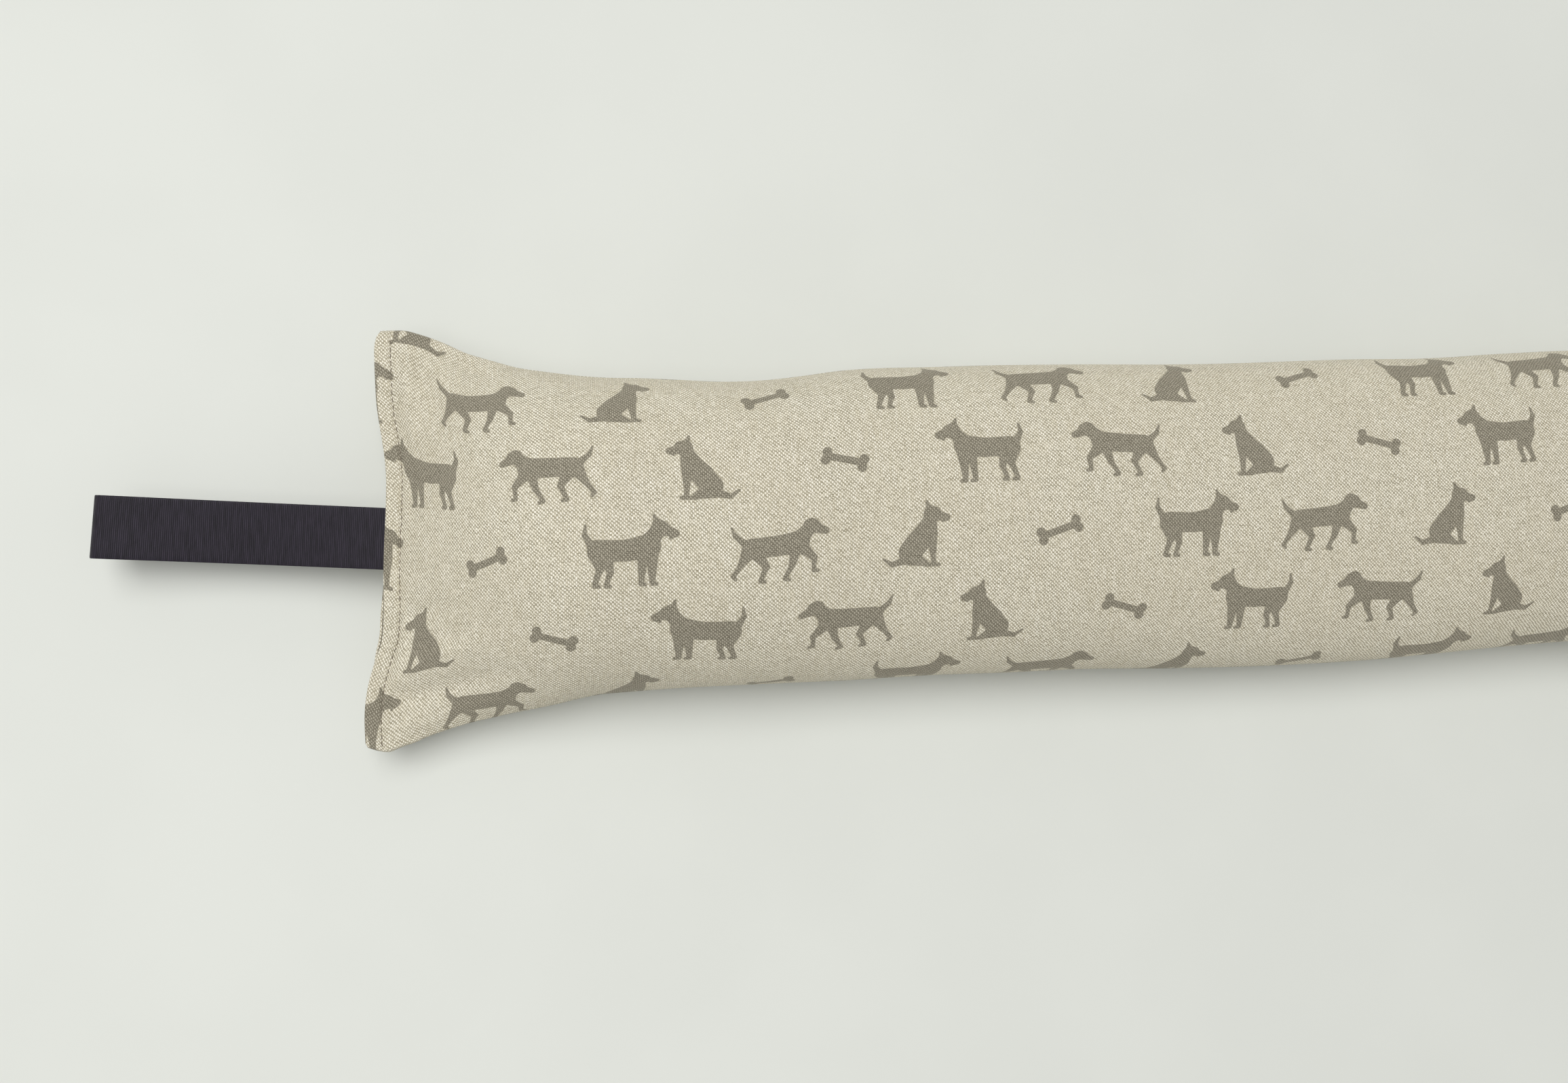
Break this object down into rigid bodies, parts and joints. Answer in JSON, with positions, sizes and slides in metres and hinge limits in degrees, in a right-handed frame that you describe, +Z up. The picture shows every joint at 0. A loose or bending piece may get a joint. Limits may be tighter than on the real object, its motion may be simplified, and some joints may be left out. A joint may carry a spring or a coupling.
{
  "type": "draught excluder",
  "caption": "Long filled cloth tube that lies along the foot of a door, its ends closed flat and topstitched, with a folded ribbon hanging loop in one end seam.",
  "frame": {"origin": "centre of the pressed flat underside, below the middle of the tube's length", "axes": "+X along the length away from the ribbon, +Y across the tube, +Z up from the ground"},
  "size_m": [1.0199, 0.1717, 0.0822],
  "materials": {
    "printed_cloth": "matte oatmeal plain-weave linen-look cloth, printed with small taupe-grey dogs",
    "ribbon": "dark purplish-black ribbed ribbon with a slight sheen"
  },
  "bodies": {
    "root": {"cover": "printed_cloth", "hanging_loop": "ribbon"}
  },
  "joints": []
}
